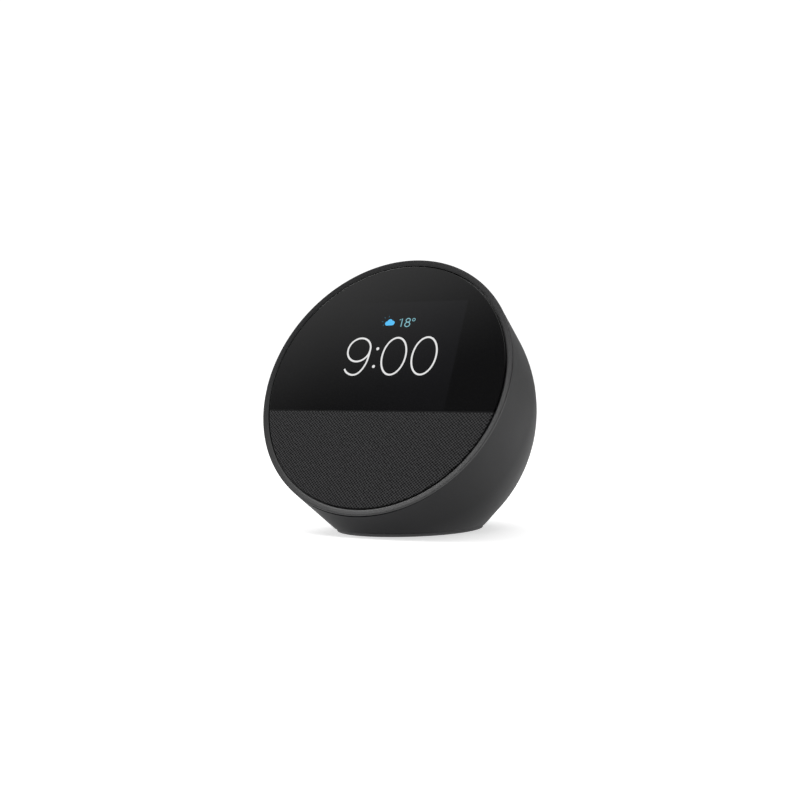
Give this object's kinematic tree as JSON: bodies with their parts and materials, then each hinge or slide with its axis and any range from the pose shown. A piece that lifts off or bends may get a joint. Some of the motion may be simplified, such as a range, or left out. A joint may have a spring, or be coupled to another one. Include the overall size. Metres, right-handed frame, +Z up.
{
  "type": "smart speaker",
  "caption": "Rounded tabletop smart speaker with a leaning round face: glass-covered display above, fabric speaker grille below, keys on top.",
  "frame": {"origin": "middle of the bounding box's footprint, on the table under the rubber foot", "axes": "+X across, to the right when facing the display; the display and grille face -Y and lean back 25 degrees; +Z up"},
  "size_m": [0.113, 0.1029, 0.1115],
  "materials": {
    "charcoal_plastic": "fine moulded texture, matte",
    "black_plastic": "matte",
    "black_glass": "glossy black cover glass",
    "display_stack": "dark display layers",
    "grille_fabric": "woven, dark grey",
    "black_rubber": "matte",
    "sheet_steel": "stamped and zinc plated",
    "aluminium": "extruded, plain",
    "ferrite": "sintered, dark grey",
    "speaker_paper": "pressed paper and cloth",
    "copper_wire": "enamelled copper winding",
    "circuit_board": "green solder mask",
    "cable_jacket": "smooth",
    "flex_film": "amber polyimide film"
  },
  "bodies": {
    "case": {"rear_housing": "charcoal_plastic", "front_bezel": "charcoal_plastic", "cover_glass": "black_glass", "grille_fabric": "grille_fabric", "grille_frame": "black_plastic", "touch_sensor": "display_stack", "lcd_panel": "display_stack", "lcd_bracket": "sheet_steel", "front_frame": "black_plastic", "frame_screw_1": "sheet_steel", "frame_screw_2": "sheet_steel", "frame_screw_3": "sheet_steel", "frame_screw_4": "sheet_steel", "display_flex": "flex_film", "speaker_gasket": "black_rubber", "speaker_basket": "sheet_steel", "speaker_surround": "black_rubber", "speaker_spider": "speaker_paper", "speaker_top_plate": "sheet_steel", "speaker_magnet": "ferrite", "speaker_yoke": "sheet_steel", "speaker_enclosure": "black_plastic", "speaker_cable": "cable_jacket", "main_board": "circuit_board", "system_chip": "black_plastic", "shield_can": "sheet_steel", "thermal_pad": "black_rubber", "heat_sink": "aluminium", "wifi_antenna": "flex_film", "antenna_cable": "cable_jacket", "volume_down_switch": "black_plastic", "mic_mute_switch": "black_plastic", "volume_up_switch": "black_plastic", "microphone_left": "sheet_steel", "microphone_gasket_left": "black_rubber", "microphone_right": "sheet_steel", "microphone_gasket_right": "black_rubber", "button_board": "circuit_board", "button_flex": "flex_film", "dc_jack": "black_plastic", "jack_pin": "sheet_steel", "jack_board": "circuit_board", "power_cable": "cable_jacket", "base_plate": "black_plastic", "base_screw_right": "sheet_steel", "base_screw_left": "sheet_steel", "ballast_plate": "sheet_steel", "rubber_foot": "black_rubber"},
    "volume_down_key": {"volume_down_button": "charcoal_plastic", "volume_down_plunger": "black_rubber"},
    "mic_mute_key": {"mic_mute_button": "charcoal_plastic", "mic_mute_plunger": "black_rubber"},
    "volume_up_key": {"volume_up_button": "charcoal_plastic", "volume_up_plunger": "black_rubber"},
    "driver_moving_assembly": {"speaker_cone": "speaker_paper", "speaker_dust_cap": "speaker_paper", "speaker_voice_coil": "copper_wire"}
  },
  "joints": [
    {"name": "volume_down_press", "type": "slide", "parent": "case", "child": "volume_down_key", "axis": [0, -0.5, -0.866], "range_m": [0, 0.0007], "stiffness_N_per_m": 1500, "springref_m": -0.0004},
    {"name": "mic_mute_press", "type": "slide", "parent": "case", "child": "mic_mute_key", "axis": [0, -0.5, -0.866], "range_m": [0, 0.0007], "stiffness_N_per_m": 1500, "springref_m": -0.0004},
    {"name": "volume_up_press", "type": "slide", "parent": "case", "child": "volume_up_key", "axis": [0, -0.5, -0.866], "range_m": [0, 0.0007], "stiffness_N_per_m": 1500, "springref_m": -0.0004},
    {"name": "cone_travel", "type": "slide", "parent": "case", "child": "driver_moving_assembly", "axis": [0, -0.9063, 0.4226], "range_m": [-0.0008, 0.0008], "stiffness_N_per_m": 1200, "deforming": ["speaker_surround", "speaker_spider"]}
  ]
}
